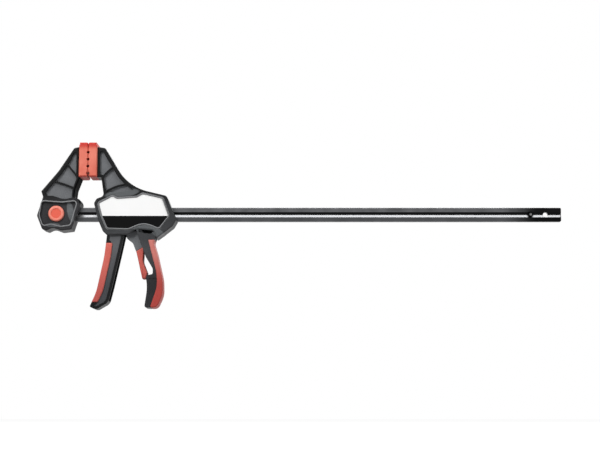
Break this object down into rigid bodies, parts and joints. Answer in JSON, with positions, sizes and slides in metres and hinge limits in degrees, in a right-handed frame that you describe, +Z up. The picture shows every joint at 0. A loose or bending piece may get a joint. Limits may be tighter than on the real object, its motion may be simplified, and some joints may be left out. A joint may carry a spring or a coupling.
{
  "type": "quick release bar clamp",
  "caption": "One-hand bar clamp: steel bar, fixed jaw with lock button, sliding head with padded jaw, squeeze lever, release trigger and rear handle.",
  "frame": {"origin": "centre of the fixed jaw pad's clamping face", "axes": "+X along the bar towards its free end, the way the head opens; +Z up from the bar to the jaws; Y across the clamp, with the labelled near side at -Y"},
  "size_m": [0.6667, 0.034, 0.2123],
  "materials": {
    "blackened_steel": "blackened, slightly oiled steel bar",
    "spring_steel": "bright drawn wire",
    "hardened_steel": "stamped and hardened",
    "zinc_steel": "zinc plated",
    "black_nylon": "fine moulded grain",
    "red_nylon": "satin moulding",
    "red_rubber": "matt soft overmould",
    "white_label": "bare printed label film",
    "black_label": "bare printed label film"
  },
  "bodies": {
    "bar_and_fixed_jaw": {"bar": "blackened_steel", "stop_pin": "spring_steel", "fixed_jaw_near_shell": "black_nylon", "fixed_jaw_far_shell": "black_nylon", "fixed_jaw_screws": "zinc_steel", "fixed_jaw_pad": "red_rubber", "lock_spring": "spring_steel"},
    "lock_button": {"lock_button": "red_nylon", "lock_yoke": "zinc_steel", "lock_pin": "zinc_steel"},
    "head": {"head_near_shell": "black_nylon", "head_far_shell": "black_nylon", "head_screws": "zinc_steel", "label_upper": "white_label", "label_lower": "black_label", "rear_handle_grip": "red_rubber", "moving_jaw_pad": "red_rubber", "lever_pivot_pin": "zinc_steel", "drive_spring": "spring_steel", "brake_spring": "spring_steel"},
    "squeeze_lever": {"drive_lever": "black_nylon", "lever_grip": "red_rubber"},
    "drive_plates": {"drive_plates": "hardened_steel"},
    "release": {"brake_plate": "hardened_steel", "release_trigger": "black_nylon", "trigger_pad": "red_rubber"}
  },
  "joints": [
    {"name": "head_slide", "type": "slide", "parent": "bar_and_fixed_jaw", "child": "head", "axis": [1, 0, 0], "range_m": [0, 0.45]},
    {"name": "lever_squeeze", "type": "hinge", "parent": "head", "child": "squeeze_lever", "pos_m": [0.034, 0, -0.0541], "axis": [0, -1, 0], "range_deg": [0, 20], "stiffness_Nm_per_rad": 1.2, "springref_deg": -8.59},
    {"name": "drive_plates_slide", "type": "slide", "parent": "head", "child": "drive_plates", "axis": [1, 0, 0], "range_m": [0, 0.0057], "deforming": ["drive_spring"]},
    {"name": "release_pull", "type": "hinge", "parent": "head", "child": "release", "pos_m": [0.0705, 0, -0.0511], "axis": [0, -1, 0], "range_deg": [0, 5], "stiffness_Nm_per_rad": 2, "springref_deg": -5.73, "deforming": ["brake_spring"]},
    {"name": "lock_button_press", "type": "slide", "parent": "bar_and_fixed_jaw", "child": "lock_button", "axis": [0, 1, 0], "range_m": [0, 0.0052], "stiffness_N_per_m": 600, "springref_m": -0.004, "deforming": ["lock_spring"]}
  ],
  "couplings": [
    {"joint": "drive_plates_slide", "follows": "lever_squeeze", "m_per_rad": 0.016}
  ]
}
